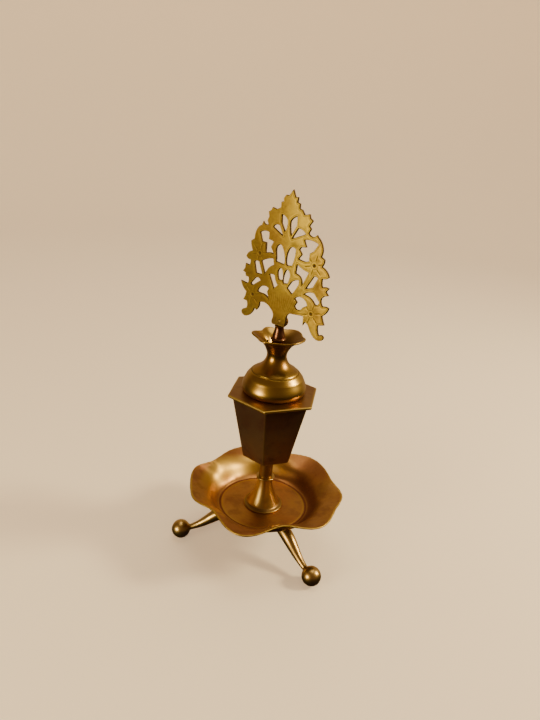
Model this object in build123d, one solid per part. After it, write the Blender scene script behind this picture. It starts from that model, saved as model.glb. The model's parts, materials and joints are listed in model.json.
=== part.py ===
"""Brass incense burner: a six-petalled dish on three ball-footed legs carries a six-sided cup on a stem.

The cup's domed lid lifts off. Its fluted neck is closed by a stopper, which lifts out and turns, and which
carries a pierced and chased leaf.

Millimetres, +Z up. The origin is on the vessel's axis, at the level of the surface that it stands on.
-Y is the front, between two legs, and the third leg points to the rear. Pairs of numbers called a line are
(radius, height) points of a turned profile.
"""

from build123d import *

import os
from math import atan2, cos, pi, radians, sin, sqrt, tan

# ---- driving dimensions -------------------------------------------------------------------------------

SHEET = 0.9                       # wall of the beaten and spun brass shells
GAP = 0.25                        # loose fit between pieces that lift apart
RUNNING_FIT = 0.05                # radial clearance of a rod in its bore
PIN_FIT = 0.03                    # radial clearance round a rivet or a tenon

# legs and hub
LEG_AZIMUTHS = {"leg_right": 330, "leg_back": 90, "leg_left": 210}
LEG_LINE = ((11.0, 16.8), (17.0, 16.1), (22.5, 14.0), (28.2, 10.3), (33.5, 7.1), (38.5, 5.2))
LEG_RADII = (2.95, 3.2, 3.25, 2.6, 1.85, 1.4)
FOOT_CIRCLE_R = 42.0
BALL_R = 4.8
PAD_R = 1.2                       # flat worn on the bottom of each ball
HUB_R = 12.0
HUB_BOTTOM_Z = 13.8
HUB_EDGE = 0.6
TENON_R = 2.2
TENON_LENGTH = 5.0
LEG_PIN_R = 0.8
LEG_PIN_PLACE = 8.3               # distance of each pin from the axis
LEG_PIN_TOP_Z = 19.6

# dish
DISH_FLOOR_Z = 21.0
DISH_PETAL_LINE = ((22.5, 21.0), (25.8, 22.5), (28.9, 26.2), (34.2, 28.9), (41.4, 31.0))
DISH_NOTCH_LINE = ((22.5, 21.0), (25.0, 22.9), (27.2, 27.0), (30.2, 30.4), (34.1, 32.6))
# The hand-beaten petals, as (azimuth, how far open the sheet is there, from 0 in a notch to 1).
DISH_OPENING = ((0, 0.67), (18, 0.87), (38, 0.42), (72, 1.0), (97, 0.08), (127, 0.95), (168, 0.0),
                (184, 0.75), (209, 0.55), (224, 0.58), (247, 0.13), (278, 0.98), (308, 0.03), (338, 0.92))

# foot, ring, stem and the rod that ties them together
FOOT_RIM_R = 10.0
FOOT_RIM_HEIGHT = 0.7
FOOT_LINE = ((8.3, 22.3), (6.6, 25.6), (5.0, 29.8), (4.0, 33.8), (3.6, 36.8))
RING_R = 4.7
RING_HEIGHT = 0.9
STEM_R = 3.4
TIE_ROD_R = 1.5
TIE_HOLE_R = 1.7
TIE_ROD_ENDS_Z = (10.0, 56.2)
NUT_ACROSS_CORNERS = 6.4
NUT_HEIGHT = 2.4
WASHER_R = 3.6
WASHER_HEIGHT = 0.6

# six-sided cup
CUP_TURN = 13.3                   # the cup's corners stand this many degrees round from the legs
CUP_Z = (51.0, 84.0)
CUP_R = (13.1, 20.6)              # axis to corner at the bottom and at the top
CUP_WALL = 1.2
CUP_FLOOR = 1.4

# lid: six-sided flange, skirt, dome and neck
FLANGE_R = 23.05
FLANGE_HEIGHT = 1.4
FLANGE_EDGE = 0.3
SKIRT_R = 17.9
SKIRT_WALL = 1.0
SKIRT_DEPTH = 3.5
SMOKE_HOLE_R = 9.0
DOME_LINE = ((13.6, 85.4), (15.5, 87.8), (15.1, 90.5), (13.95, 93.1), (11.7, 96.2))
DOME_INSIDE = ((12.5, 85.4), (14.5, 87.8), (14.1, 90.3), (12.95, 92.8), (10.6, 96.2))
NECK_LINE = ((9.8, 96.2), (7.5, 98.0), (5.6, 99.8), (4.3, 102.2), (3.8, 104.8))    # inside, to the throat
MOUTH_PETAL_LINE = ((4.8, 108.0), (6.9, 111.0), (9.5, 113.0), (12.7, 114.5))
MOUTH_NOTCH_LINE = ((4.6, 107.9), (6.2, 110.8), (8.1, 112.8), (10.3, 114.0))
MOUTH_OPENING = ((10, 1.0), (30, 0.5), (66, 1.0), (108, 0.0), (140, 0.8), (165, 0.0), (192, 1.0),
                 (226, 0.1), (258, 0.9), (292, 0.1), (328, 0.9))

# stopper
PLUG_LINE = ((3.0, 101.2), (3.45, 103.4), (3.55, 105.6), (4.0, 107.4))
ROD_R = 1.8
ROD_HEAD_R = 2.6                  # the rod's peened end, which keeps the plug on it
ROD_HEAD_HEIGHT = 1.2
ROD_NECK_LINE = ((3.2, 107.4), (3.35, 109.0), (3.1, 111.0), (3.0, 111.9))
BEAD_R = 3.7
BEAD_HEIGHT = 1.2
ROD_FLARE_LINE = ((3.2, 113.1), (2.9, 114.6), (2.4, 116.4), (2.1, 118.6))
KNOB_R = 3.9
KNOB_HEIGHT = 6.2
KNOB_Z = 121.2
KNOB_THICKNESS = 4.6              # between the flats filed on it, level with the leaf
RIVET_R = 0.7
RIVET_HEAD_R = 1.2
RIVET_HEAD_HEIGHT = 0.5

# pierced leaf, drawn in its own plane: (distance to the right of the axis, height)
LEAF_THICKNESS = 1.3
LEAF_TURN = -13.25                # the leaf's right side stands this many degrees round from +X
LEAF_FOOT = (2.4, 118.8)
# Each edge runs on from the point before it: a pair is a straight cut, and a group of pairs is a curve.
LEAF_RIGHT_EDGE = (
    ((3.2, 121.6), (3.5, 124.3), (5.0, 126.0)), ((8.5, 126.3), (12.1, 126.6)),
    # lower flower, with its tail curled outwards
    (12.3, 122.1), (13.3, 124.2), (15.0, 123.2),
    ((16.4, 120.6), (18.4, 118.3), (20.9, 117.3), (23.0, 118.1), (23.5, 119.5)),
    ((22.6, 120.3), (20.9, 119.8)), ((20.2, 121.8), (20.0, 124.2)), (23.1, 125.0),
    ((22.1, 127.0), (21.5, 128.9)), ((23.2, 130.4), (24.4, 133.0)), ((22.8, 133.5), (21.2, 133.2)),
    ((20.3, 134.8), (20.3, 136.6)),
    # tuft of three teeth
    (21.4, 137.8), (23.5, 138.4), (22.1, 139.9), (23.4, 141.6), ((21.7, 142.0), (20.0, 141.6)),
    # upper flower
    ((19.6, 143.4), (19.6, 145.2)), ((21.3, 145.4), (22.8, 146.4)), ((21.0, 149.0), (18.8, 150.3)),
    ((19.6, 151.8), (19.7, 153.4)), (17.9, 154.4),
    # branch that bends in to the crown
    ((18.4, 157.0), (17.4, 160.0), (15.3, 162.3)), (14.7, 163.2), ((13.2, 162.0), (10.6, 163.0)),
    # toothed crown
    (11.6, 165.1), (10.5, 166.1), (12.1, 168.5), (10.6, 169.4), (10.1, 171.1), (7.6, 170.4),
    (6.3, 172.2), (4.9, 172.6), (4.9, 174.6), (3.5, 175.0), (3.7, 177.2), (2.2, 177.0),
)
LEAF_TIP = (0.8, 180.0)
LEAF_LEFT_EDGE = (
    (-1.1, 177.3), (-2.7, 177.4), (-3.9, 175.8), (-3.7, 174.5), (-5.0, 174.1), (-4.9, 171.8),
    (-7.0, 170.7), (-9.3, 171.3), (-10.0, 169.9), (-11.4, 169.0), (-10.8, 167.1), (-11.7, 165.2),
    (-10.9, 163.6),
    ((-12.3, 163.3), (-13.8, 164.6)), (-14.5, 162.8), ((-16.6, 161.3), (-17.8, 159.0), (-18.2, 156.0)),
    (-20.1, 154.8), ((-19.6, 152.2), (-18.7, 150.3)), ((-20.9, 149.4), (-22.4, 147.3)),
    ((-21.2, 146.2), (-19.6, 146.0)), ((-19.6, 144.6), (-20.0, 143.4)),
    (-22.4, 143.8), (-22.6, 141.6), (-23.9, 139.9), (-22.2, 139.3), (-21.9, 137.8), (-20.1, 137.6),
    ((-19.9, 136.2), (-20.4, 134.6)), (-24.6, 135.2), ((-23.2, 132.4), (-21.0, 130.5)),
    ((-21.4, 128.6), (-22.6, 126.3)), (-20.2, 126.0), ((-19.8, 124.4), (-20.2, 122.6)),
    ((-21.8, 121.9), (-23.1, 120.6), (-22.6, 119.2), (-20.8, 118.5), (-18.6, 119.2), (-16.6, 121.0),
     (-15.2, 123.8)),
    (-14.0, 123.0), (-13.0, 124.2), ((-12.4, 125.6), (-12.4, 127.2)),
    ((-10.4, 127.8), (-8.0, 127.4), (-6.0, 126.0), (-4.4, 124.2), (-4.2, 122.0), (-4.7, 120.3), (-4.4, 119.2),
     (-3.2, 118.8)),
)
LEAF_HOLES = (
    # crown
    ((-3.9, 168.9), (((-2.1, 168.3), (-0.8, 167.0)), ((-0.7, 164.4), (-1.6, 161.8)), (-3.6, 165.2))),
    ((4.1, 169.2), (((2.3, 168.2), (1.0, 166.6)), ((1.1, 163.5), (1.8, 160.7)), (4.3, 165.5))),
    ((-8.0, 162.9), (((-6.3, 164.2), (-4.6, 164.0)), (-2.5, 159.9))),
    ((9.1, 162.5), (((7.2, 164.0), (5.2, 164.3)), (2.4, 159.5))),
    # beside the centre, under the branches
    ((-15.0, 159.4), (((-12.5, 160.4), (-10.0, 160.2)), (-10.0, 157.1), (-7.2, 156.6), (-8.5, 153.9),
                      (-6.6, 151.2), ((-8.9, 151.4), (-11.0, 150.9)), (-11.1, 155.5), (-13.6, 155.6))),
    ((15.9, 159.3), (((12.5, 160.3), (8.8, 160.0)), (9.5, 158.5), (10.3, 157.0), (7.7, 156.7),
                     (6.9, 155.5), (8.4, 153.6), (6.8, 151.4), (10.0, 150.8), (12.0, 151.3),
                     (12.0, 154.8), (13.8, 156.0))),
    ((-5.0, 148.2), (((-5.1, 151.5), (-4.9, 154.8), (-3.4, 155.9), (-1.9, 154.6), (-1.4, 147.7)),)),
    ((1.3, 147.5), (((1.2, 153.8), (2.8, 155.8), (4.9, 155.2)), ((4.7, 152.0), (3.6, 147.7)))),
    # round the centre's crown
    ((-13.0, 146.7), (((-9.6, 148.3), (-6.6, 149.0)), (-6.0, 146.3), ((-8.4, 144.8), (-10.6, 141.2)))),
    ((12.6, 146.5), (((9.2, 147.4), (6.4, 149.0)), (6.1, 144.9), ((8.6, 143.8), (9.8, 140.2)))),
    ((-2.6, 140.2), (((-3.3, 142.4), (-3.0, 144.7), (-1.9, 145.6), (-0.9, 144.2), (-1.1, 140.4)),)),
    ((0.5, 139.2), (((0.5, 144.2), (1.6, 145.6), (2.9, 144.3), (3.0, 142.0), (2.2, 139.4)),)),
    ((-8.0, 141.5), (((-6.4, 141.9), (-5.0, 141.6)), ((-4.3, 139.2), (-3.0, 137.6)), (-5.0, 135.7))),
    ((8.1, 142.2), (((6.0, 141.6), (4.4, 140.6)), (2.4, 137.3), (5.0, 135.2), ((7.0, 138.2), (8.1, 140.4)))),
    # outside it
    ((-17.1, 145.6), (((-15.8, 146.2), (-14.5, 146.0)), (-12.2, 140.7), (-15.7, 140.6))),
    ((17.4, 144.9), (((16.5, 145.5), (15.4, 145.2)), (12.0, 139.2), (15.3, 140.5))),
    ((-18.4, 135.0), ((-17.4, 134.4), (-12.9, 137.6), ((-14.2, 138.6), (-15.9, 138.1)))),
    ((11.4, 136.6), (((13.9, 137.9), (16.4, 138.0)), (19.3, 134.8), ((18.6, 133.4), (17.4, 133.2)),
                     ((15.2, 135.4), (13.4, 136.2)))),
    # beside the urn
    ((-13.9, 132.1), (((-13.0, 134.2), (-11.0, 135.4), (-7.9, 135.0)), (-8.6, 133.2), (-7.3, 129.9),
                      ((-9.4, 131.5), (-11.8, 131.9)))),
    ((13.5, 131.8), (((12.4, 133.8), (10.3, 134.8), (6.9, 133.5)), (8.4, 132.1), (7.3, 130.3),
                     ((8.4, 128.9), (9.6, 128.9), (11.2, 130.4)))),
)

# ---- dimensions worked out from these -----------------------------------------------------------------

HUB_FLAT = LEG_LINE[0][0]
HUB_TOP_Z = DISH_FLOOR_Z - SHEET
RING_Z = FOOT_LINE[-1][1]
STEM_Z = (RING_Z + RING_HEIGHT, CUP_Z[0])
BALL_Z = sqrt(BALL_R**2 - PAD_R**2)
FLANGE_Z = CUP_Z[1]
NECK_PETAL_LINE = NECK_LINE + MOUTH_PETAL_LINE
NECK_NOTCH_LINE = NECK_LINE + MOUTH_NOTCH_LINE
ON_BASE = (Align.CENTER, Align.CENTER, Align.MIN)


# ---- general shapes -----------------------------------------------------------------------------------

def round_bar(radius, bottom, top, bore=0.0):
    """A round bar on the axis between two heights, or a tube, washer or collar when it has a bore."""
    bar = Pos(0, 0, bottom) * Cylinder(radius, top - bottom, align=ON_BASE)
    if bore:
        bar -= Pos(0, 0, bottom) * Cylinder(bore, top - bottom, align=ON_BASE)
    return bar


def profile_vectors(line):
    return [Vector(radius, 0, height) for radius, height in line]


def turned(line, bore, smooth=True):
    """A solid of revolution between a line and a straight bore, with level ends."""
    outside = profile_vectors(line)
    bottom, top = Vector(bore, 0, line[0][1]), Vector(bore, 0, line[-1][1])
    side = Spline(*outside) if smooth else Polyline(*outside)
    face = make_face([side, Line(outside[-1], top), Line(top, bottom), Line(bottom, outside[0])])
    return revolve(face, Axis.Z)


def hexagon(radius, height):
    return Pos(0, 0, height) * Rot(0, 0, CUP_TURN) * RegularPolygon(radius, 6, rotation=30)


def cup_taper(heights, inset=0.0):
    """The cup's six-sided taper between two heights, drawn in by an inset on its corners."""
    growth = (CUP_R[1] - CUP_R[0]) / (CUP_Z[1] - CUP_Z[0])
    ends = [hexagon(CUP_R[0] + growth * (z - CUP_Z[0]) - inset, z) for z in heights]
    return loft(ends, ruled=True)


def openness(azimuth, stations):
    """How far open a fluted sheet is at an azimuth, eased between the stations on either side."""
    for i, (after, next_value) in enumerate(stations):
        before, value = stations[i - 1]
        place = (azimuth - before) % 360 / ((after - before) % 360)
        if place < 1:
            return value + (next_value - value) * (1 - cos(pi * place)) / 2


def fluted_sheet(petal_line, notch_line, stations, floor):
    """Sheet brass that runs from a plain circle out to a petalled rim, as one closed solid.

    The two lines give its inner face in the middle of a petal and in a notch, and share their first point.
    With a floor, the plain circle is closed by a flat disc; otherwise the sheet ends level there."""
    points_round = 72
    last = 10
    petal, notch = [[Spline(*profile_vectors(line)) @ (level / last) for level in range(last + 1)]
                    for line in (petal_line, notch_line)]

    def inner(level, azimuth):
        share = openness(azimuth, stations)
        return (notch[level] * (1 - share) + petal[level] * share).rotate(Axis.Z, azimuth)

    def outer(level, azimuth):
        here = inner(level, azimuth)
        if level == 0:
            rise = petal[1] - petal[0]
            slope = atan2(rise.Z, rise.X)
            outwards = Vector(1, 0, 0).rotate(Axis.Z, azimuth)
            if floor:
                return here + outwards * (SHEET * tan(slope / 2)) - Vector(0, 0, SHEET)
            return here + outwards * (SHEET / sin(slope))
        along = inner(min(level + 1, last), azimuth) - inner(level - 1, azimuth)
        across = inner(level, azimuth + 1) - inner(level, azimuth - 1)
        return here + across.cross(along).normalized() * SHEET

    def ring(side, level):
        points = [side(level, 360 * i / points_round) for i in range(points_round)]
        return Wire([Edge.make_spline(points, periodic=True)])

    inner_rings = [ring(inner, level) for level in range(last + 1)]
    outer_rings = [ring(outer, level) for level in range(last + 1)]
    faces = [*Shell.make_loft(inner_rings).faces(), *Shell.make_loft(outer_rings).faces()]
    faces += Shell.make_loft([inner_rings[-1], outer_rings[-1]], ruled=True).faces()
    if floor:
        faces += [Face(inner_rings[0]), Face(outer_rings[0])]
    else:
        faces += Shell.make_loft([inner_rings[0], outer_rings[0]], ruled=True).faces()
    return Solid(Shell(faces))


def drawn_edges(start, cuts):
    """Edges in the leaf's plane that run on from start: a pair is a straight cut, a group is a curve."""
    edges = []
    here = start
    for cut in cuts:
        if isinstance(cut[0], tuple):
            edges.append(Spline(here, *cut))
            here = cut[-1]
        else:
            edges.append(Line(here, cut))
            here = cut
    return edges, here


def drawn_face(start, cuts):
    """The face inside a closed run of edges, whose last edge is a straight cut back to start."""
    edges, end = drawn_edges(start, cuts)
    if (Vector(*end) - Vector(*start)).length > 0:
        edges.append(Line(end, start))
    return make_face(edges)


# ---- base ---------------------------------------------------------------------------------------------

def tripod_hub():
    hub = chamfer(round_bar(HUB_R, HUB_BOTTOM_Z, HUB_TOP_Z).edges().group_by(Axis.Z)[0], HUB_EDGE)
    hub -= round_bar(TIE_HOLE_R, HUB_BOTTOM_Z, HUB_TOP_Z)
    tenon_z = LEG_LINE[0][1]
    for azimuth in LEG_AZIMUTHS.values():
        outside = Pos(HUB_FLAT, 0, HUB_BOTTOM_Z) * Box(HUB_R, 2 * HUB_R, 2 * HUB_R,
                                                      align=(Align.MIN, Align.CENTER, Align.CENTER))
        mortise = Pos(HUB_FLAT - TENON_LENGTH - GAP, 0, tenon_z) * Rot(0, 90, 0) * Cylinder(
            TENON_R + PIN_FIT, HUB_R, align=ON_BASE)
        hub -= Rot(0, 0, azimuth) * (outside + mortise)
        hub -= Rot(0, 0, azimuth) * pin_hole()
    return hub


def pin_hole():
    height = LEG_PIN_TOP_Z - HUB_BOTTOM_Z
    return Pos(LEG_PIN_PLACE, 0, HUB_BOTTOM_Z) * Cylinder(LEG_PIN_R + PIN_FIT, height, align=ON_BASE)


def leg_pins():
    height = LEG_PIN_TOP_Z - HUB_BOTTOM_Z
    pin = Pos(LEG_PIN_PLACE, 0, HUB_BOTTOM_Z) * Cylinder(LEG_PIN_R, height, align=ON_BASE)
    return Compound(children=[Rot(0, 0, azimuth) * pin for azimuth in LEG_AZIMUTHS.values()])


def leg(azimuth):
    """A tapered leg on +X, turned to its azimuth: tenon, round tapering bow and ball foot."""
    path = Spline(*profile_vectors(LEG_LINE), tangents=[Vector(1, 0, 0), Vector(1, 0, -0.15)])
    sections = []
    for (x, z), radius in zip(LEG_LINE, LEG_RADII):
        share = path.param_at_point(Vector(x, 0, z))
        sections.append(Plane(origin=(x, 0, z), z_dir=path % share) * Circle(radius))
    bow = loft(sections)
    ball = Pos(FOOT_CIRCLE_R, 0, BALL_Z) * Sphere(BALL_R)
    floor = Box(4 * BALL_R, 4 * BALL_R, BALL_R, align=(Align.CENTER, Align.CENTER, Align.MAX))
    tenon = Pos(HUB_FLAT - TENON_LENGTH, 0, LEG_LINE[0][1]) * Rot(0, 90, 0) * Cylinder(
        TENON_R, TENON_LENGTH, align=ON_BASE)
    whole = bow + ball - Pos(FOOT_CIRCLE_R, 0, 0) * floor + tenon - pin_hole()
    return Rot(0, 0, azimuth) * whole


def dish():
    sheet = fluted_sheet(DISH_PETAL_LINE, DISH_NOTCH_LINE, DISH_OPENING, floor=True)
    return sheet - round_bar(TIE_HOLE_R, HUB_TOP_Z, DISH_FLOOR_Z)


def foot_cone():
    rim_z = DISH_FLOOR_Z + FOOT_RIM_HEIGHT
    shoulder = turned(((FOOT_RIM_R, rim_z), FOOT_LINE[0]), TIE_HOLE_R, smooth=False)
    rim = round_bar(FOOT_RIM_R, DISH_FLOOR_Z, rim_z, bore=TIE_HOLE_R)
    return rim + shoulder + turned(FOOT_LINE, TIE_HOLE_R)


def stem_ring():
    ring = round_bar(RING_R, RING_Z, RING_Z + RING_HEIGHT)
    rims = ring.edges().filter_by(GeomType.CIRCLE)
    return fillet(rims, RING_HEIGHT / 2.5) - round_bar(TIE_HOLE_R, RING_Z, RING_Z + RING_HEIGHT)


def nut(bottom):
    hexagon_face = Pos(0, 0, bottom) * RegularPolygon(NUT_ACROSS_CORNERS / 2, 6)
    return extrude(hexagon_face, NUT_HEIGHT) - round_bar(TIE_ROD_R + PIN_FIT, bottom, bottom + NUT_HEIGHT)


def washer(bottom):
    return round_bar(WASHER_R, bottom, bottom + WASHER_HEIGHT, bore=TIE_HOLE_R)


# ---- cup ----------------------------------------------------------------------------------------------

def corner_inset():
    """The distance that the cup's inner corners stand inside its outer corners."""
    lean = atan2((CUP_R[1] - CUP_R[0]) * cos(radians(30)), CUP_Z[1] - CUP_Z[0])
    return CUP_WALL / cos(radians(30)) / cos(lean)


def cup_wall():
    return cup_taper(CUP_Z) - cup_taper(CUP_Z, corner_inset())


def cup_floor():
    heights = (CUP_Z[0], CUP_Z[0] + CUP_FLOOR)
    return cup_taper(heights, corner_inset()) - round_bar(TIE_HOLE_R, *heights)


# ---- lid ----------------------------------------------------------------------------------------------

def flange():
    plate = chamfer(extrude(hexagon(FLANGE_R, FLANGE_Z), FLANGE_HEIGHT).edges(), FLANGE_EDGE)
    return plate - round_bar(SMOKE_HOLE_R, FLANGE_Z, FLANGE_Z + FLANGE_HEIGHT)


def lid_skirt():
    outside = extrude(hexagon(SKIRT_R, FLANGE_Z - SKIRT_DEPTH), SKIRT_DEPTH)
    inside_r = SKIRT_R - SKIRT_WALL / cos(radians(30))
    return outside - extrude(hexagon(inside_r, FLANGE_Z - SKIRT_DEPTH), SKIRT_DEPTH)


def dome():
    tangents = [Vector(2, 0, 1), Vector(-5, 0, 6)]
    outside = Spline(*profile_vectors(DOME_LINE), tangents=tangents)
    inside = Spline(*profile_vectors(DOME_INSIDE), tangents=tangents)
    ends = [Line(outside @ 0, inside @ 0), Line(outside @ 1, inside @ 1)]
    return revolve(make_face([outside, inside, *ends]), Axis.Z)


def neck():
    return fluted_sheet(NECK_PETAL_LINE, NECK_NOTCH_LINE, MOUTH_OPENING, floor=False)


# ---- stopper ------------------------------------------------------------------------------------------

def leaf_plane():
    turn = radians(LEAF_TURN)
    return Plane(origin=(0, 0, 0), x_dir=(cos(turn), sin(turn), 0), z_dir=(sin(turn), -cos(turn), 0))


def through_leaf(height, radius, length):
    """A round bar square to the leaf, centred on its thickness."""
    return leaf_plane() * Pos(0, height, 0) * Cylinder(radius, length)


def stopper_plug():
    return turned(PLUG_LINE, ROD_R + RUNNING_FIT)


def knob():
    """A flattened ball, filed flat in front and behind, level with the leaf."""
    ball = scale(Sphere(KNOB_R), by=(1, 1, KNOB_HEIGHT / (2 * KNOB_R)))
    slab = Pos(0, KNOB_Z, 0) * Box(3 * KNOB_R, 3 * KNOB_R, KNOB_THICKNESS)
    return Pos(0, 0, KNOB_Z) * ball & leaf_plane() * slab


def stopper_rod():
    plug_bottom_z = PLUG_LINE[0][1]
    shoulder_z = ROD_NECK_LINE[0][1]
    bead_z = ROD_NECK_LINE[-1][1]
    head = round_bar(ROD_HEAD_R, plug_bottom_z - ROD_HEAD_HEIGHT, plug_bottom_z)
    head = chamfer(head.edges().group_by(Axis.Z)[0], ROD_HEAD_HEIGHT / 3)
    rod = head + round_bar(ROD_R, plug_bottom_z, shoulder_z)
    rod += turned(ROD_NECK_LINE, 0) + turned(ROD_FLARE_LINE, 0)
    bead = round_bar(BEAD_R, bead_z, bead_z + BEAD_HEIGHT)
    rod += fillet(bead.edges().filter_by(GeomType.CIRCLE), BEAD_HEIGHT / 2.2)
    rod += knob()
    seat = leaf_plane() * Pos(0, LEAF_FOOT[1], -LEAF_THICKNESS / 2) * Box(
        3 * KNOB_R, 3 * KNOB_R, 3 * KNOB_R, align=(Align.CENTER, Align.MIN, Align.MIN))
    return rod - seat - through_leaf(KNOB_Z, RIVET_R + PIN_FIT, 3 * KNOB_R)


def finial_plate():
    right, tip = drawn_edges(LEAF_FOOT, LEAF_RIGHT_EDGE + (LEAF_TIP,))
    left, foot = drawn_edges(tip, LEAF_LEFT_EDGE)
    leaf = make_face([*right, *left, Line(foot, LEAF_FOOT)])
    for start, cuts in LEAF_HOLES:
        leaf -= drawn_face(start, cuts)
    plate = extrude(leaf_plane() * leaf, LEAF_THICKNESS / 2, both=True)
    return plate - through_leaf(KNOB_Z, RIVET_R + PIN_FIT, 3 * KNOB_R)


def finial_pin():
    """The rivet through the leaf's foot and the knob, filed flush in front, with a low head behind."""
    grip = (KNOB_THICKNESS + LEAF_THICKNESS) / 2
    behind = leaf_plane() * Pos(0, KNOB_Z, -KNOB_THICKNESS / 2)
    head = Pos(0, 0, -RIVET_HEAD_HEIGHT) * Cylinder(RIVET_HEAD_R, RIVET_HEAD_HEIGHT, align=ON_BASE)
    head = fillet(head.edges().filter_by(GeomType.CIRCLE).sort_by(Axis.Z)[0], RIVET_HEAD_HEIGHT * 0.8)
    return behind * (head + Cylinder(RIVET_R, grip, align=ON_BASE))


# ---- the whole object ---------------------------------------------------------------------------------

NODES = {
    "tripod_hub": tripod_hub(),
    "leg_pins": leg_pins(),
    "dish": dish(),
    "foot_cone": foot_cone(),
    "stem_ring": stem_ring(),
    "stem": round_bar(STEM_R, *STEM_Z, bore=TIE_HOLE_R),
    "tie_rod": round_bar(TIE_ROD_R, *TIE_ROD_ENDS_Z),
    "lower_washer": washer(HUB_BOTTOM_Z - WASHER_HEIGHT),
    "lower_nut": nut(HUB_BOTTOM_Z - WASHER_HEIGHT - NUT_HEIGHT),
    "cup_floor": cup_floor(),
    "cup_wall": cup_wall(),
    "upper_washer": washer(CUP_Z[0] + CUP_FLOOR),
    "upper_nut": nut(CUP_Z[0] + CUP_FLOOR + WASHER_HEIGHT),
    "flange": flange(),
    "lid_skirt": lid_skirt(),
    "dome": dome(),
    "neck": neck(),
    "stopper_plug": stopper_plug(),
    "stopper_rod": stopper_rod(),
    "finial_plate": finial_plate(),
    "finial_pin": finial_pin(),
}
for leg_name, leg_azimuth in LEG_AZIMUTHS.items():
    NODES[leg_name] = leg(leg_azimuth)

os.makedirs("parts", exist_ok=True)
for node_name, shape in NODES.items():
    export_step(shape, f"parts/{node_name}.step")
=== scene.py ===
import json
from itertools import product
from math import atan2, cos, pi, radians, sin

import bpy
import numpy as np
from mathutils import Matrix, Vector
from mathutils.bvhtree import BVHTree
from mathutils.kdtree import KDTree


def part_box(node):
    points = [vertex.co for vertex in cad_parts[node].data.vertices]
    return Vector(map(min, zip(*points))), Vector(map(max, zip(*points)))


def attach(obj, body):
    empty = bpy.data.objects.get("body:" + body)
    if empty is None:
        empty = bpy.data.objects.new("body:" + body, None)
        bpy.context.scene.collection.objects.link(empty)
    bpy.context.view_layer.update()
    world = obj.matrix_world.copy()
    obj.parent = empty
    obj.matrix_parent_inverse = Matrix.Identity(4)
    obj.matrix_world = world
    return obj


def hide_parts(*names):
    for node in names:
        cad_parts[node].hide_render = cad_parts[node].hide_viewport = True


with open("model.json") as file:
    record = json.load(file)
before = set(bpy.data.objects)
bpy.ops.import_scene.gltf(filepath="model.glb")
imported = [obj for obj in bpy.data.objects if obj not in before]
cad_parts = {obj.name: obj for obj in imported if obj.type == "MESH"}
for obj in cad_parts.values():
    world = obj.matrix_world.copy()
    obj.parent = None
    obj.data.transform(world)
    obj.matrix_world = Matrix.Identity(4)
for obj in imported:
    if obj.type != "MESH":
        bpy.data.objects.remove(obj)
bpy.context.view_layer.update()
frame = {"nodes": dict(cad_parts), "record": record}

NODES = frame["nodes"]
MM = 0.001
MIX_A, MIX_B, MIX_RESULT = 6, 7, 2    # a Mix node's colour sockets, by number
SHARP_CORNER = 24                 # degrees of turn in a profile, above which it stays a corner

# ---- camera -------------------------------------------------------------------------------------------

CAMERA_AZIMUTH = 20.6             # degrees round from the front, -Y, towards +X
CAMERA_DISTANCE = 0.2564          # metres from the axis
CAMERA_HEIGHT = 0.2045
CAMERA_HEADING = -0.67            # degrees off the axis, to the left
CAMERA_PITCH = 21.9               # degrees down
CAMERA_ROLL = 5.2
CAMERA_LENS = 29.2


def link(obj):
    bpy.context.scene.collection.objects.link(obj)
    return obj


def make_camera():
    """A hand-held view from a little above, tipped a few degrees clockwise."""
    azimuth, pitch, roll = radians(CAMERA_AZIMUTH), radians(CAMERA_PITCH), radians(CAMERA_ROLL)
    heading = radians(CAMERA_HEADING) - azimuth
    forward = Vector((sin(heading) * cos(pitch), cos(heading) * cos(pitch), -sin(pitch)))
    level = Vector((cos(heading), -sin(heading), 0))
    down = forward.cross(level)
    right = level * cos(roll) - down * sin(roll)
    up = -(level * sin(roll) + down * cos(roll))
    data = bpy.data.cameras.new("camera")
    data.lens = CAMERA_LENS
    data.clip_start = 0.01
    camera = link(bpy.data.objects.new("camera", data))
    place = Vector((CAMERA_DISTANCE * sin(azimuth), -CAMERA_DISTANCE * cos(azimuth), CAMERA_HEIGHT))
    camera.matrix_world = Matrix.Translation(place) @ Matrix((right, up, -forward)).transposed().to_4x4()
    bpy.context.scene.camera = camera


# ---- floor and light ----------------------------------------------------------------------------------

TABLE_GLOW = (0.014, 0.009, 0.008)    # what the brass mirrors below it,
ROOM_GLOW = (0.140, 0.085, 0.052)     # in front of it,
WALL_GLOW = (0.44, 0.30, 0.160)       # and behind it
KEY_COLOUR = (1.0, 0.86, 0.56)
TOP_COLOUR = (1.0, 0.90, 0.68)


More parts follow.
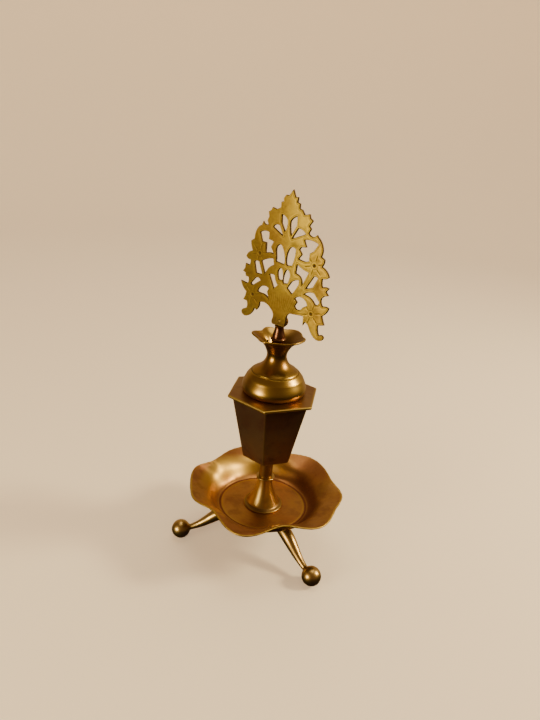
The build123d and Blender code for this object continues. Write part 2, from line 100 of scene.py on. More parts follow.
def make_floor():
    """A pale floor that curves up all round into a low wall, so that every view has a plain ground.

    The brass doesn't mirror it, and reflects a darker room instead."""
    flat, rise, bend, steps, segments = 0.9, 1.3, 0.5, 12, 96
    profile = [(flat, 0.0)]
    for i in range(1, steps + 1):
        angle = pi / 2 * i / steps
        profile.append((flat + bend * sin(angle), bend * (1 - cos(angle))))
    profile.append((flat + bend, rise))
    verts, faces = [(0, 0, 0)], [(0, 1 + i, 1 + (i + 1) % segments) for i in range(segments)]
    for radius, height in profile:
        verts += [(radius * cos(2 * pi * i / segments), radius * sin(2 * pi * i / segments), height)
                  for i in range(segments)]
    for row in range(len(profile) - 1):
        for i in range(segments):
            a, b = 1 + row * segments + i, 1 + row * segments + (i + 1) % segments
            faces.append((a, a + segments, b + segments, b))
    mesh = bpy.data.meshes.new("floor")
    mesh.from_pydata(verts, [], faces)
    mesh.shade_smooth()
    floor = link(bpy.data.objects.new("floor", mesh))
    floor.location.z = -0.2 * MM
    floor.visible_glossy = False
    floor.visible_shadow = False
    material = bpy.data.materials.new("floor")
    material.use_nodes = True
    bsdf = material.node_tree.nodes["Principled BSDF"]
    bsdf.inputs["Base Color"].default_value = (0.94, 0.78, 0.56, 1)
    bsdf.inputs["Roughness"].default_value = 0.8
    bsdf.inputs["Emission Color"].default_value = (1.0, 0.85, 0.64, 1)
    bsdf.inputs["Emission Strength"].default_value = 0.26
    mesh.materials.append(material)


def make_light(name, place, aim, size, power, colour):
    """A square soft light, size metres across."""
    data = bpy.data.lights.new(name, "AREA")
    data.shape = "SQUARE"
    data.size = size
    data.energy = power
    data.color = colour
    light = link(bpy.data.objects.new(name, data))
    light.location = place
    light.rotation_mode = "QUATERNION"
    light.rotation_quaternion = (Vector(aim) - Vector(place)).to_track_quat("-Z", "Y")
    light.visible_camera = False


def around(azimuth, distance, height):
    """A place round the object: 0 is where the camera stands, and 90 is to its right."""
    angle = radians(CAMERA_AZIMUTH + azimuth)
    return (distance * sin(angle), -distance * cos(angle), height)


def make_world():
    """A dark room in front, near darkness below, and a warm lit wall behind the object."""
    world = bpy.data.worlds.new("world")
    bpy.context.scene.world = world
    world.use_nodes = True
    nodes, links = world.node_tree.nodes, world.node_tree.links
    direction = nodes.new("ShaderNodeTexCoord").outputs["Generated"]
    split = nodes.new("ShaderNodeSeparateXYZ")
    links.new(direction, split.inputs[0])
    backwards = nodes.new("ShaderNodeVectorMath")
    backwards.operation = "DOT_PRODUCT"
    azimuth = radians(CAMERA_AZIMUTH)
    backwards.inputs[1].default_value = (-sin(azimuth), cos(azimuth), 0)
    links.new(direction, backwards.inputs[0])

    def share(value, low, high):
        made = nodes.new("ShaderNodeMapRange")
        made.interpolation_type = "SMOOTHSTEP"
        made.inputs["From Min"].default_value = low
        made.inputs["From Max"].default_value = high
        links.new(value, made.inputs["Value"])
        return made.outputs[0]

    def blend(part, below, above):
        made = nodes.new("ShaderNodeMix")
        made.data_type = "RGBA"
        links.new(part, made.inputs[0])
        for socket, colour in zip((made.inputs[MIX_A], made.inputs[MIX_B]), (below, above)):
            if isinstance(colour, tuple):
                socket.default_value = (*colour, 1)
            else:
                links.new(colour, socket)
        return made.outputs[MIX_RESULT]

    room = blend(share(split.outputs["Z"], -0.08, 0.10), TABLE_GLOW, ROOM_GLOW)
    wall = blend(share(split.outputs["Z"], -0.60, -0.44), TABLE_GLOW, WALL_GLOW)
    surroundings = blend(share(backwards.outputs["Value"], 0.30, 0.75), room, wall)
    links.new(surroundings, nodes["Background"].inputs["Color"])


def make_lights():
    """Two small warm lamps, low on the left and high on the right, and a soft one overhead."""
    dome, ground = (0, 0, 0.09), (0, 0, 0)
    make_light("key_left", around(-48, 0.60, 0.135), dome, 0.16, 2.2, KEY_COLOUR)
    make_light("key_right", around(92, 0.62, 0.44), dome, 0.14, 4.6, KEY_COLOUR)
    make_light("top", around(160, 0.25, 1.2), ground, 0.7, 4.5, TOP_COLOUR)


# ---- mesh tools ---------------------------------------------------------------------------------------

def coordinates(mesh):
    flat = np.empty(3 * len(mesh.vertices), np.float32)
    mesh.vertices.foreach_get("co", flat)
    return flat.reshape(-1, 3).astype(float)


def set_coordinates(mesh, points):
    mesh.vertices.foreach_set("co", points.astype(np.float32).ravel())
    mesh.update()


def vertex_normals(mesh):
    flat = np.empty(3 * len(mesh.vertices), np.float32)
    mesh.vertex_normals.foreach_get("vector", flat)
    return flat.reshape(-1, 3).astype(float)


def edge_ends(mesh):
    flat = np.empty(2 * len(mesh.edges), np.int32)
    mesh.edges.foreach_get("vertices", flat)
    return flat.reshape(-1, 2)


def smoothed(values, ends, passes):
    """Values at the vertices, each drawn half way to its neighbours' mean once a pass."""
    count = len(values)
    neighbours = np.bincount(ends.ravel(), minlength=count)
    for _ in range(passes):
        columns = []
        for column in values.T:
            total = (np.bincount(ends[:, 0], column[ends[:, 1]], count)
                     + np.bincount(ends[:, 1], column[ends[:, 0]], count))
            columns.append((column + total / neighbours) / 2)
        values = np.stack(columns, axis=1)
    return values


def grain(points, size, seed):
    """Smooth noise from -1 to 1 at the points, with bumps about size across."""
    scaled = points / size
    cell = np.floor(scaled).astype(np.int64)
    place = scaled - cell
    place = place * place * (3 - 2 * place)
    total = np.zeros(len(points))
    for corner in product((0, 1), repeat=3):
        x, y, z = (cell + corner).T
        mixed = (x * 73856093) ^ (y * 19349663) ^ (z * 83492791) ^ (seed * 40503)
        mixed = ((mixed ^ (mixed >> 13)) * 1274126177) & 0xFFFFFFFF
        value = ((mixed ^ (mixed >> 15)) & 0xFFFF) / 32767.5 - 1
        total += value * np.prod(np.where(corner, place, 1 - place), axis=1)
    return total


def eased(value, low, high):
    """0 below low, 1 above high, and an easy curve between them."""
    share = np.clip((value - low) / (high - low), 0, 1)
    return share * share * (3 - 2 * share)


def set_attribute(mesh, name, values):
    attribute = mesh.attributes.get(name) or mesh.attributes.new(name, "FLOAT", "POINT")
    attribute.data.foreach_set("value", values.astype(np.float32))


def facing(points, azimuth, low, high):
    """1 on the side of the axis that lies towards azimuth, as around() has it, falling to 0 round it."""
    angle = radians(CAMERA_AZIMUTH + azimuth)
    level = points[:, 0] * sin(angle) - points[:, 1] * cos(angle)
    return eased(level / np.maximum(np.hypot(points[:, 0], points[:, 1]), 1e-6), low, high)


def mark_relief(mesh, spread, depth, extra_tarnish_and_shade=0.0, painted_highlight=0.0):
    """Stores where the surface is hollow (tarnish) and where it stands proud (wear), from 0 to 1.

    The keyword arguments add to these: the first adds tarnish and painted shade, which also hide the wear,
    and the second adds a painted highlight as wear."""
    points = coordinates(mesh)
    inwards = smoothed(points, edge_ends(mesh), spread) - points
    hollow = (inwards * vertex_normals(mesh)).sum(axis=1) / depth
    set_attribute(mesh, "tarnish_and_shade", np.clip(np.maximum(hollow, extra_tarnish_and_shade), 0, 1))
    set_attribute(mesh, "wear_and_highlight", np.clip(np.maximum(-hollow * (1 - np.clip(extra_tarnish_and_shade, 0, 1)), painted_highlight), 0, 1))


def finish_piece(piece, material, body, replaced=()):
    piece.data.materials.clear()
    piece.data.materials.append(material)
    piece.data.shade_smooth()
    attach(piece, body)
    if replaced:
        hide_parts(*replaced)


def remeshed(name, node, voxel, passes, turn=0.0):
    """An even, fine copy of a CAD node, laid back on its surface, with corners eased by smoothing passes."""
    source = NODES[node].data.copy()
    source.transform(Matrix.Rotation(turn, 4, "Z"))
    rough = link(bpy.data.objects.new(name + "_rough", source))
    rough.modifiers.new("even", "REMESH").voxel_size = voxel
    evaluated = rough.evaluated_get(bpy.context.evaluated_depsgraph_get())
    mesh = bpy.data.meshes.new_from_object(evaluated)
    surface = BVHTree.FromPolygons([v.co for v in source.vertices], [p.vertices for p in source.polygons])
    points = np.array([surface.find_nearest(point)[0] for point in coordinates(mesh)])
    set_coordinates(mesh, smoothed(points, edge_ends(mesh), passes))
    bpy.data.objects.remove(rough)
    mesh.name = name
    return link(bpy.data.objects.new(name, mesh))


def lathe_mesh(name, loop, segments, offset=None):
    """A closed profile loop of (radius, height) points, turned about the axis.

    offset(azimuth, radius, height) moves the points outwards along the radius."""
    count = len(loop)
    azimuths = 2 * pi * np.arange(segments) / segments
    azimuth, index = np.meshgrid(azimuths, np.arange(count), indexing="ij")
    radius, height = loop[index.ravel(), 0], loop[index.ravel(), 1]
    azimuth = azimuth.ravel()
    if offset:
        radius = radius + offset(azimuth, radius, height)
    points = np.stack([radius * np.cos(azimuth), radius * np.sin(azimuth), height], axis=1)
    faces = []
    for i in range(segments):
        here, there = i * count, (i + 1) % segments * count
        for k in range(count):
            ahead = (k + 1) % count
            faces.append((here + k, there + k, there + ahead, here + ahead))
    mesh = bpy.data.meshes.new(name)
    mesh.from_pydata(points.tolist(), [], faces)
    return mesh


def smooth_loop(corners, step):
    """Points about step apart along a closed outline, curved through gentle corners but not sharp ones."""
    ahead = np.roll(corners, -1, axis=0) - corners
    length = np.hypot(*ahead.T)[:, None]
    ahead = ahead / length
    behind, shorter = np.roll(ahead, 1, axis=0), np.roll(length, 1, axis=0)
    tangent = ahead / length + behind / shorter
    tangent /= np.hypot(*tangent.T)[:, None]
    sharp = ((ahead * behind).sum(axis=1) < cos(radians(SHARP_CORNER)))[:, None]
    leaving, arriving = np.where(sharp, ahead, tangent), np.where(sharp, behind, tangent)
    points = []
    for i, (start, span) in enumerate(zip(corners, length[:, 0])):
        after = (i + 1) % len(corners)
        t = np.linspace(0, 1, max(1, round(span / step)), endpoint=False)[:, None]
        points.append((1 + 2 * t) * (1 - t)**2 * start + t * (1 - t)**2 * span * leaving[i]
                      + t * t * (3 - 2 * t) * corners[after] - t * t * (1 - t) * span * arriving[after])
    return np.concatenate(points)


def seam_loop(node, step, passes):
    """The true profile of a turned CAD node, followed round its seam, with eased corners."""
    mesh = NODES[node].data
    points = coordinates(mesh)
    keys = [tuple(np.round(p / 1e-7).astype(int)) for p in points]
    on_seam = {keys[i]: (p[0], p[2]) for i, p in enumerate(points) if p[0] > 0 and abs(p[1]) < 1e-7}
    beside = {key: set() for key in on_seam}
    for a, b in edge_ends(mesh):
        if keys[a] in beside and keys[b] in beside and keys[a] != keys[b]:
            beside[keys[a]].add(keys[b])
            beside[keys[b]].add(keys[a])
    start = min(on_seam, key=lambda key: (on_seam[key][1], -on_seam[key][0]))
    order, last = [start], None
    while True:
        ahead = [key for key in beside[order[-1]] if key != last]
        last = order[-1]
        nearest = max(ahead, key=lambda key: on_seam[key][0]) if len(order) == 1 else ahead[0]
        if nearest == start:
            break
        order.append(nearest)
    loop = smooth_loop(np.array([on_seam[key] for key in order]), step)
    for _ in range(passes):
        loop = (2 * loop + np.roll(loop, 1, axis=0) + np.roll(loop, -1, axis=0)) / 4
    return loop


# ---- brass --------------------------------------------------------------------------------------------

class Shader:
    """A material's nodes, with short ways to add and join them."""

    def __init__(self, name):
        self.material = bpy.data.materials.new(name)
        self.material.use_nodes = True
        self.tree = self.material.node_tree
        self.bsdf = self.tree.nodes["Principled BSDF"]

    def feed(self, socket, value):
        if isinstance(value, bpy.types.NodeSocket):
            self.tree.links.new(value, socket)
        else:
            socket.default_value = value

    def node(self, kind, inputs=(), **settings):
        made = self.tree.nodes.new("ShaderNode" + kind)
        for key, value in settings.items():
            setattr(made, key, value)
        for key, value in dict(inputs).items():
            self.feed(made.inputs[key], value)
        return made

    def math(self, operation, a, b=0.0):
        return self.node("Math", {0: a, 1: b}, operation=operation).outputs[0]

    def ramp(self, value, low, high, to_low=0.0, to_high=1.0):
        inputs = {"Value": value, "From Min": low, "From Max": high, "To Min": to_low, "To Max": to_high}
        return self.node("MapRange", inputs, interpolation_type="SMOOTHSTEP").outputs[0]

    def mix(self, share, a, b):
        return self.node("Mix", {0: share, MIX_A: a, MIX_B: b}, data_type="RGBA").outputs[MIX_RESULT]

    def noise(self, vector, scale, detail=4.0, distortion=0.0):
        inputs = {"Vector": vector, "Scale": scale, "Detail": detail, "Distortion": distortion}
        return self.node("TexNoise", inputs).outputs[0]

    def attribute(self, name):
        return self.node("Attribute", attribute_name=name).outputs["Fac"]


def millimetres(shader):
    coord = shader.node("TexCoord").outputs["Object"]
    return shader.node("VectorMath", {0: coord, 1: (1000, 1000, 1000)}, operation="MULTIPLY").outputs[0]


def turning_marks(shader, place):
    """Fine rings round the axis: a function of the radius and the height alone."""
    x, y, z = shader.node("SeparateXYZ", {0: place}).outputs[:3]
    squares = shader.math("ADD", shader.math("MULTIPLY", x, x), shader.math("MULTIPLY", y, y))
    radius = shader.math("SQRT", squares)
    rings = shader.node("CombineXYZ", {0: radius, 1: z}).outputs[0]
    return shader.noise(rings, 2.6, 5.0)


def brushed_marks(shader, place, stretch):
    """Fine scratches, drawn out along the axes where stretch is small."""
    drawn = shader.node("VectorMath", {0: place, 1: stretch}, operation="MULTIPLY").outputs[0]
    return shader.noise(drawn, 1.0, 5.0, 0.3)


POLISHED_AND_HIGHLIGHT = (0.72, 0.50, 0.08)     # bare brass, where wear has kept it clean, and the painted highlight on the dish


def brass(name, clean, warm, dark, roughness, marks, stain=(0.50, 0.78), stain_share=0.55, marks_depth=0.006,
          streaks=0.0):
    """Aged brass: clean and warmer metal in patches, dark tarnish in stains and hollows, bright worn edges,
    and the painted shade and painted highlight that some pieces store with the tarnish and the wear.

    marks(shader, place) gives the fine tool marks, which show in the roughness and the bump, and streaks is
    how dark the coarser ones are."""
    shader = Shader(name)
    place = millimetres(shader)
    broad = shader.noise(place, 0.045, 3.0, 0.3)
    patches = shader.noise(place, 0.13, 4.0, 0.2)
    specks = shader.noise(place, 1.4, 6.0)
    tool = marks(shader, place)

    # The tarnish attribute also carries painted shade, and the wear attribute a painted highlight.
    tarnish_and_shade, wear_and_highlight = shader.attribute("tarnish_and_shade"), shader.attribute("wear_and_highlight")
    stains = shader.math("MULTIPLY", shader.ramp(patches, *stain), stain_share)
    mottled = shader.math("MULTIPLY", shader.ramp(specks, 0.55, 0.80), 0.25)
    aged_and_shaded = shader.math("MAXIMUM", shader.math("MAXIMUM", stains, mottled), tarnish_and_shade)
    if streaks:
        coarse = shader.node("VectorMath", {0: place, 1: (0.30, 0.30, 0.36)}, operation="MULTIPLY").outputs[0]
        streaked = shader.math("MULTIPLY", shader.ramp(marks(shader, coarse), 0.42, 0.70), streaks)
        aged_and_shaded = shader.math("ADD", aged_and_shaded, streaked)
    aged_and_shaded = shader.math("SUBTRACT", aged_and_shaded, shader.math("MULTIPLY", wear_and_highlight, 0.8))
    aged_and_shaded = shader.node("Clamp", {"Value": aged_and_shaded}).outputs[0]

    colour = shader.mix(shader.ramp(broad, 0.36, 0.64), (*clean, 1), (*warm, 1))
    colour = shader.mix(aged_and_shaded, colour, (*dark, 1))
    colour = shader.mix(shader.math("MULTIPLY", wear_and_highlight, 0.6), colour, (*POLISHED_AND_HIGHLIGHT, 1))
    shader.feed(shader.bsdf.inputs["Base Color"], colour)
    shader.bsdf.inputs["Metallic"].default_value = 1.0

    rough = shader.math("ADD", roughness, shader.math("MULTIPLY", shader.math("SUBTRACT", tool, 0.5), 0.10))
    rough = shader.math("ADD", rough, shader.math("MULTIPLY", aged_and_shaded, 0.20))
    rough = shader.math("ADD", rough, shader.math("MULTIPLY", wear_and_highlight, 0.08))
    rough = shader.node("Clamp", {"Value": rough, "Min": 0.08}).outputs[0]
    shader.feed(shader.bsdf.inputs["Roughness"], rough)

    pits = shader.ramp(specks, 0.30, 0.46)
    height = shader.math("ADD", shader.math("MULTIPLY", tool, 0.7), shader.math("MULTIPLY", pits, 0.3))
    bump = shader.node("Bump", {"Strength": 1.0, "Distance": marks_depth * MM, "Height": height})
    shader.feed(shader.bsdf.inputs["Normal"], bump.outputs[0])
    return shader.material


def filed(shader, place):
    """Scratches every way."""
    return brushed_marks(shader, place, (2.2, 2.2, 2.2))


def brushed_level(shader, place):
    return brushed_marks(shader, place, (0.35, 0.35, 4.0))


def brushed_upright(shader, place):
    return brushed_marks(shader, place, (4.0, 4.0, 0.35))


LEG = brass("leg_brass", (0.66, 0.44, 0.15), (0.58, 0.35, 0.11), (0.16, 0.085, 0.038), 0.34, filed,
            marks_depth=0.001)
FASTENER = brass("fastener_brass", (0.46, 0.30, 0.07), (0.38, 0.22, 0.055), (0.10, 0.05, 0.022), 0.50, filed)
DISH = brass("dish_brass", (0.50, 0.25, 0.078), (0.46, 0.19, 0.062), (0.21, 0.072, 0.030), 0.36, filed,
             stain=(0.42, 0.70), stain_share=0.5, marks_depth=0.004, streaks=0.10)
STEM = brass("stem_brass", (0.60, 0.40, 0.13), (0.56, 0.34, 0.10), (0.12, 0.045, 0.020), 0.30, turning_marks,
             marks_depth=0.0015)
CUP = brass("cup_brass", (0.24, 0.145, 0.068), (0.21, 0.095, 0.050), (0.075, 0.031, 0.022), 0.54,
            brushed_upright, marks_depth=0.004)
FLANGE = brass("flange_brass", (0.37, 0.21, 0.080), (0.31, 0.15, 0.062), (0.11, 0.045, 0.024), 0.36,
               brushed_level, marks_depth=0.004)
DOME = brass("dome_brass", (0.50, 0.30, 0.065), (0.45, 0.22, 0.052), (0.11, 0.044, 0.021), 0.30,
             turning_marks, marks_depth=0.001)
STOPPER = brass("stopper_brass", (0.21, 0.085, 0.045), (0.16, 0.060, 0.032), (0.05, 0.02, 0.014), 0.30,
                turning_marks, marks_depth=0.001)
LEAF = brass("leaf_brass", (0.62, 0.42, 0.042), (0.53, 0.31, 0.034), (0.13, 0.07, 0.026), 0.50, filed,
             stain=(0.45, 0.72), stain_share=0.5, streaks=0.12)

SLOT_MATERIALS = {"leg_brass": LEG, "fastener_brass": FASTENER, "dish_brass": DISH, "stem_brass": STEM,
                  "cup_brass": CUP, "flange_brass": FLANGE, "dome_brass": DOME, "stopper_brass": STOPPER,
                  "leaf_brass": LEAF}


def paint_cad_nodes():
    """The CAD nodes that stay in sight, or inside, take the material of their own slot."""
    for subpart in frame["record"]["subparts"]:
        node = NODES[subpart["node"]]
        node.data.materials.clear()
        node.data.materials.append(SLOT_MATERIALS[subpart["material_slot"]])


# ---- leaf ---------------------------------------------------------------------------------------------

FLOWERS = ((15.0, 150.0), (16.0, 128.5), (-14.5, 150.0), (-17.0, 130.0))     # centres, mm to the right and up
URN_FOOT = (0.0, 116.0)
LEAF_BOW = 0.45                   # mm the leaf's sides are bent back
LEAF_HALF_WIDTH = 20.0
LEAF_VOXEL = 0.20
EDGE_ROUND = 0.28                 # mm, the radius of the filed edges
CHASING_DEPTH = 0.15              # mm
FACE_INSET = 0.02                 # mm, so that the uneven face stays within the plate


def leaf_turn():
    """The angle of the leaf's right side about the axis, from +X."""
    level = coordinates(NODES["finial_plate"].data)[:, :2]
    across = np.linalg.svd(level - level.mean(axis=0), full_matrices=False)[2][0]
    across = across * np.sign(across[0])
    return atan2(across[1], across[0])


def wall_distance(mesh):
    """How far each vertex is from the sawn outline and the pierced holes."""
    source = NODES["finial_plate"].data.copy()
    source.transform(Matrix.Rotation(-leaf_turn(), 4, "Z"))
    walls = [tuple(face.vertices) for face in source.polygons if abs(face.normal.y) < 0.5]
    tree = BVHTree.FromPolygons([v.co for v in source.vertices], walls)
    points = coordinates(mesh)
    return np.array([tree.find_nearest(Vector((x, 0, z)))[3] for x, _, z in points])


def chased_lines(x, z):
    """Depth from 0 to 1 of the chaser's lines on the leaf's face: veins, petals and strokes on the urn."""
    depth = np.zeros(len(x))
    for centre_x, centre_z in FLOWERS:
        dx, dz = x - centre_x, z - centre_z
        away = np.hypot(dx, dz)
        dimple = 1 - eased(away, 0.45, 1.15)
        ring = 1 - eased(abs(away - 1.7), 0.10, 0.30)
        ray = abs((np.arctan2(dz, dx) / (2 * pi) * 6 + 0.25) % 1 - 0.5) * 2 * pi / 6 * away
        petals = (1 - eased(ray, 0.10, 0.32)) * eased(away, 1.9, 2.2) * (1 - eased(away, 4.2, 5.4))
        depth = np.maximum.reduce([depth, dimple, 0.35 * ring, 0.7 * petals])
    dx, dz = x - URN_FOOT[0], z - URN_FOOT[1]
    fan = abs((np.arctan2(dx, dz) * 14 + 0.5) % 1 - 0.5) / 14 * np.hypot(dx, dz)
    strokes = (1 - eased(fan, 0.06, 0.20)) * eased(z, 124.0, 126.5) * (1 - eased(z, 132.5, 134.5))
    return np.maximum(depth, 0.5 * strokes * (abs(x) < 7.5))


def make_leaf():
    """The pierced leaf: filed edges, a chased border, veins and petals, and punched flower centres."""
    turn = leaf_turn()
    piece = remeshed("leaf", "finial_plate", LEAF_VOXEL * MM, 0, turn=-turn)
    mesh = piece.data
    half = np.abs(coordinates(NODES["finial_plate"].data) @ np.array((-sin(turn), cos(turn), 0))).max()
    ends = edge_ends(mesh)
    points = smoothed(coordinates(mesh), ends, 2)
    side = np.sign(points[:, 1])
    on_face = abs(points[:, 1]) > 0.7 * half
    edge = wall_distance(mesh)
    x, z = points[:, 0] / MM, points[:, 2] / MM
    round_off = EDGE_ROUND * MM
    drop = round_off - np.sqrt(np.maximum(round_off**2 - np.maximum(round_off - edge, 0)**2, 0))
    border = 1 - eased(abs(edge / MM - 0.75), 0.08, 0.22)
    lines = np.where(on_face, np.maximum(0.45 * border, chased_lines(x, z)), 0) * eased(edge / MM, 0.3, 0.6)
    uneven = 0.035 * grain(points / MM, 6.0, 3) + 0.012 * grain(points / MM, 1.6, 4)
    face_y = side * (half - drop - MM * (CHASING_DEPTH * lines + FACE_INSET + uneven))
    points[:, 1] = np.where(on_face, face_y, points[:, 1]) + LEAF_BOW * MM * (x / LEAF_HALF_WIDTH) ** 2
    set_coordinates(mesh, smoothed(points, ends, 1))
    groove = smoothed(lines[:, None], ends, 1)[:, 0]
    sawn = 1 - eased(edge / MM, 0.20, 0.45)
    # Painted shade: darker towards the left side, a little less near the top.
    painted_shade_left = 0.60 * eased(-x / LEAF_HALF_WIDTH, -0.6, 0.6) * (1 - 0.35 * eased(z, 150, 165))
    # Painted shade over the urn, darkest near its foot.
    on_urn = (1 - eased(z, 130, 142)) * (1 - eased(abs(x), 7, 12))
    painted_shade_urn = (0.55 + 0.25 * (1 - eased(z, 119.5, 125.0))) * on_urn
    stains_and_painted_shade = np.maximum.reduce([0.9 * groove, 0.95 * sawn, painted_shade_left, painted_shade_urn])
    # Tarnish in the chased lines and along the sawn edges, with the painted shade; the walls are darkened
    # fully, tarnish in the cut edges and painted shade.
    mark_relief(mesh, 6, 0.05 * MM, extra_tarnish_and_shade=np.where(on_face, stains_and_painted_shade, 1.0))
    mesh.transform(Matrix.Rotation(turn, 4, "Z"))
    finish_piece(piece, LEAF, "stopper", ["finial_plate"])


# ---- dish and neck ------------------------------------------------------------------------------------

SHEET = 0.9                       # mm, the dish's sheet metal
FLOOR_RADIUS = 22.3               # mm, the crease round the dish's floor
DISH_VOXEL = 0.36
NECK_VOXEL = 0.24


def hammer_marks(points, seed, spacing, radius):
    """Depth from 0 to 1 of round hammer marks scattered over the points, about spacing apart."""
    random = np.random.default_rng(seed)
    order = random.permutation(len(points))[:int(len(points) * 0.02)]
    kept = []
    for index in order:
        if not kept or min(np.linalg.norm(points[kept] - points[index], axis=1)) > spacing:
            kept.append(index)
    centres = KDTree(len(kept))
    for i, index in enumerate(kept):
        centres.insert(points[index], i)
    centres.balance()
    away = np.array([centres.find(point)[2] for point in points])
    return 1 - eased(away, 0, radius)


def eased_petals(mesh):
    """The dish's points with the ridges between its petals softened, but its rim and its floor left alone."""
    points, normals = coordinates(mesh), vertex_normals(mesh)
    radius = np.hypot(points[:, 0], points[:, 1]) / MM
    sector_width, passes = 3, 80
    sectors = 360 // sector_width
    sector = np.floor(np.degrees(np.arctan2(points[:, 1], points[:, 0])) / sector_width).astype(int) % sectors
    rim = np.zeros(sectors)
    np.maximum.at(rim, sector, radius)
    share = eased(radius, 23.5, 26.5) * eased(rim[sector] - radius, 0.8, 4.0)
    shift = ((smoothed(points, edge_ends(mesh), passes) - points) * normals).sum(axis=1)
    return points + normals * (share * shift)[:, None]


def make_dish():
    """The beaten dish: planished petals, a spun crease round its floor, and faint rings on the floor.

    Its inside is tarnished in the crease, has painted shade on the wall to the right of the floor, is duller
    at the back, and has a painted highlight of bare brass on the wall at the back left."""
    piece = remeshed("dish_bowl", "dish", DISH_VOXEL * MM, 5)
    mesh = piece.data
    points = eased_petals(mesh)
    set_coordinates(mesh, points)
    normals = vertex_normals(mesh)
    low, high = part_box("dish")
    radius = np.hypot(points[:, 0], points[:, 1]) / MM
    height = points[:, 2] / MM
    above = normals[:, 2] > 0.3
    floor_z = low.z / MM + SHEET
    wall = eased(radius, 23.5, 27.0)
    marks = hammer_marks(points, seed=7, spacing=3.4 * MM, radius=3.0 * MM)
    offset = -0.012 * marks * wall + 0.04 * grain(points / MM, 12.0, 11) * wall
    crease = 1 - eased(abs(radius - FLOOR_RADIUS), 0.2, 0.9)
    on_floor = abs(height - floor_z) < 0.3
    rings = np.sin(radius * 2.9 + 0.3 * grain(points / MM, 9.0, 5)) * (1 - wall) * on_floor
    offset = offset - np.where(above, 0.22 * crease, 0) + np.where(above, 0.004 * rings, 0)
    rim = eased(height, high.z / MM - 5.5, high.z / MM - 1.5)
    offset = offset + 0.05 * rim * grain(points / MM, 2.4, 17)
    points = points + normals * (offset * MM)[:, None]
    set_coordinates(mesh, points)
    # Painted shade on the wall to the right of the floor.
    shaded = eased(radius, 22.5, 24.0) * (1 - eased(radius, 26.5, 30.0)) * facing(points, 75, 0.1, 0.8)
    # Painted highlight: bare brass on the wall at the back left, stored as wear.
    back_left_highlight = eased(radius, 24.0, 27.0) * (1 - eased(radius, 31.0, 36.0))
    back_left_highlight *= facing(points, -145, 0.3, 0.9)
    dull = 0.45 * eased(radius, 30.0, 34.0) * facing(points, 180, 0.1, 0.7)
    tarnish_and_painted_shade = np.maximum.reduce([0.9 * crease, 0.9 * shaded, dull])
    mark_relief(mesh, 10, 0.10 * MM, extra_tarnish_and_shade=np.where(above, tarnish_and_painted_shade, 0),
                painted_highlight=np.where(above, 0.8 * back_left_highlight, 0))
    finish_piece(piece, DISH, "base", ["dish"])


def make_neck():
    """The spun neck with its cut and beaten mouth, darker inside on the right and outside near the top."""
    piece = remeshed("neck_shell", "neck", NECK_VOXEL * MM, 6)
    mesh = piece.data
    points, normals = coordinates(mesh), vertex_normals(mesh)
    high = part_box("neck")[1]
    height, top = points[:, 2] / MM, high.z / MM
    mouth = eased(height, top - 6, top - 2)
    offset = mouth * (0.03 * grain(points / MM, 5.0, 23) + 0.01 * grain(points / MM, 1.6, 24))
    set_coordinates(mesh, points + normals * (offset * MM)[:, None])
    inside = normals[:, 2] > 0.25
    darkened = np.where(inside, 0.6 * facing(points, 80, -0.3, 0.4), 0.75 * eased(height, 104, 110))
    mark_relief(mesh, 8, 0.07 * MM, extra_tarnish_and_shade=darkened * eased(height, 98, 104))
    finish_piece(piece, DOME, "lid", ["neck"])


# ---- turned pieces ------------------------------------------------------------------------------------

def make_turned(name, node, body, slot, grooves=(), dark=(0, 0, 0), depth=0.06, step=0.16, segments=256):
    """A turned piece from the CAD node's own profile, with eased corners, grooves and a little run-out.

    grooves are (height, depth, half width) in mm, dark is a band made darker, as its two heights and
    how much, and depth is the relief that counts as fully hollow or proud."""
    loop = seam_loop(node, step * MM, 6)
    middle = loop[:, 0].mean()

    def offset(azimuth, radius, height):
        cut = sum(deep * (1 - eased(abs(height / MM - place), 0, wide)) for place, deep, wide in grooves)
        places = np.stack([np.cos(azimuth), np.sin(azimuth), height / MM / 10], axis=1)
        uneven = 0.012 * grain(places, 1.2, len(name))
        return MM * np.where(radius > middle, uneven - cut, 0)

    mesh = lathe_mesh(name, loop, segments, offset)
    piece = link(bpy.data.objects.new(name, mesh))
    heights = coordinates(mesh)[:, 2] / MM
    bottom, top, share = dark
    band = eased(heights, bottom - 0.3, bottom) * (1 - eased(heights, top, top + 0.3))
    mark_relief(mesh, 8, depth * MM, extra_tarnish_and_shade=share * band)
    finish_piece(piece, SLOT_MATERIALS[slot], body, [node])


def make_solder(name, body, slot, radius, height, size, uneven, seed):
    """A tarnished fillet of hard solder round a joint, whose thickness varies by the share uneven."""
    steps, segments = 10, 180
    angles = 2 * pi * np.arange(steps) / steps
    loop = np.stack([radius + size * np.cos(angles), height + size * np.sin(angles)], axis=1) * MM

    def offset(azimuth, radius, height):
        places = np.stack([6 * np.cos(azimuth), 6 * np.sin(azimuth), height / MM / 4], axis=1)
        return MM * size * uneven * grain(places, 1.0, seed)

    mesh = lathe_mesh(name, loop, segments, offset)
    piece = link(bpy.data.objects.new(name, mesh))
    mark_relief(mesh, 3, 0.03 * MM, extra_tarnish_and_shade=0.8)
    finish_piece(piece, SLOT_MATERIALS[slot], body)


# ---- cast, sheet and filed pieces ---------------------------------------------------------------------

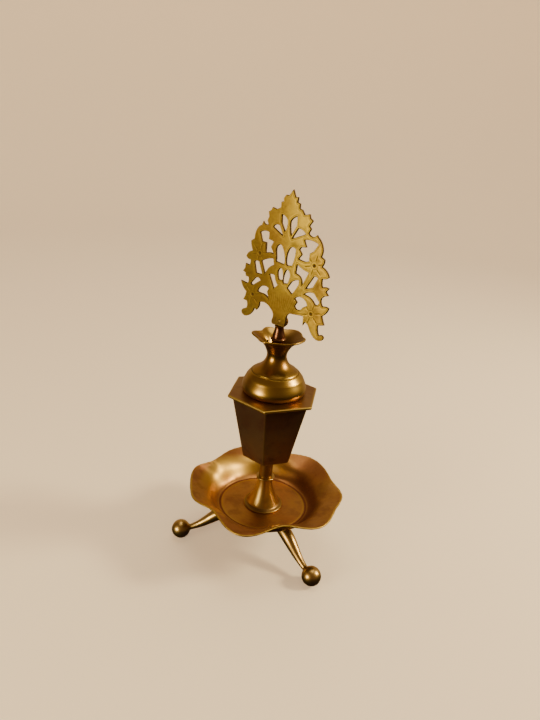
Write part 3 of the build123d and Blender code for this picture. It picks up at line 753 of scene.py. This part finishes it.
def make_refined(name, node, body, slot, voxel, passes, uneven, depth=0.08):
    """A finely meshed copy of a CAD node with eased corners and a slightly uneven, hand-worked surface.

    uneven is the height and the size of its bumps, in mm, and depth is the relief that counts as fully hollow
    or proud. The lengths of the two names seed the bumps."""
    piece = remeshed(name, node, voxel * MM, passes)
    mesh = piece.data
    points, normals = coordinates(mesh), vertex_normals(mesh)
    height, size = uneven
    broad = grain(points / MM, size, len(node))
    fine = grain(points / MM, size / 4, len(name))
    offset = height * broad + height / 3 * fine
    set_coordinates(mesh, points + normals * (offset * MM)[:, None])
    mark_relief(mesh, 8, depth * MM)
    finish_piece(piece, SLOT_MATERIALS[slot], body, [node])


# ---- the whole scene ----------------------------------------------------------------------------------

make_camera()
make_floor()
make_world()
make_lights()
paint_cad_nodes()
make_leaf()
make_dish()
make_neck()
make_turned("dome_shell", "dome", "lid", "dome_brass", grooves=((95.9, 0.06, 0.25),))
# Painted shade: the cone's lip is darkened where it meets the dish.
make_turned("foot_turned", "foot_cone", "base", "stem_brass", grooves=((22.0, 0.15, 0.4),),
            dark=(20, 22.4, 0.6))
make_turned("ring_turned", "stem_ring", "base", "stem_brass", depth=0.25, step=0.08)
make_turned("stem_turned", "stem", "base", "stem_brass", grooves=((38.3, 0.10, 0.25), (50.4, 0.12, 0.3)),
            dark=(37, 52, 0.7))
for leg_name in ("leg_right", "leg_back", "leg_left"):
    make_refined(leg_name + "_cast", leg_name, "base", "leg_brass", voxel=0.26, passes=12,
                 uneven=(0.010, 5.0), depth=0.30)
make_refined("cup_shell", "cup_wall", "base", "cup_brass", voxel=0.36, passes=4, uneven=(0.03, 8.0),
             depth=0.45)
make_refined("flange_plate", "flange", "lid", "flange_brass", voxel=0.26, passes=3, uneven=(0.03, 7.0))
make_refined("stopper_turned", "stopper_rod", "stopper", "stopper_brass", voxel=0.12, passes=12,
             uneven=(0.004, 2.0), depth=0.10)
make_refined("rivet_peened", "finial_pin", "stopper", "fastener_brass", voxel=0.10, passes=5,
             uneven=(0.01, 0.8))
make_solder("neck_solder", "lid", "dome_brass", radius=11.3, height=96.25, size=0.20, uneven=0.12, seed=5)
make_solder("cup_solder", "base", "stem_brass", radius=3.5, height=50.95, size=0.35, uneven=0.45, seed=9)
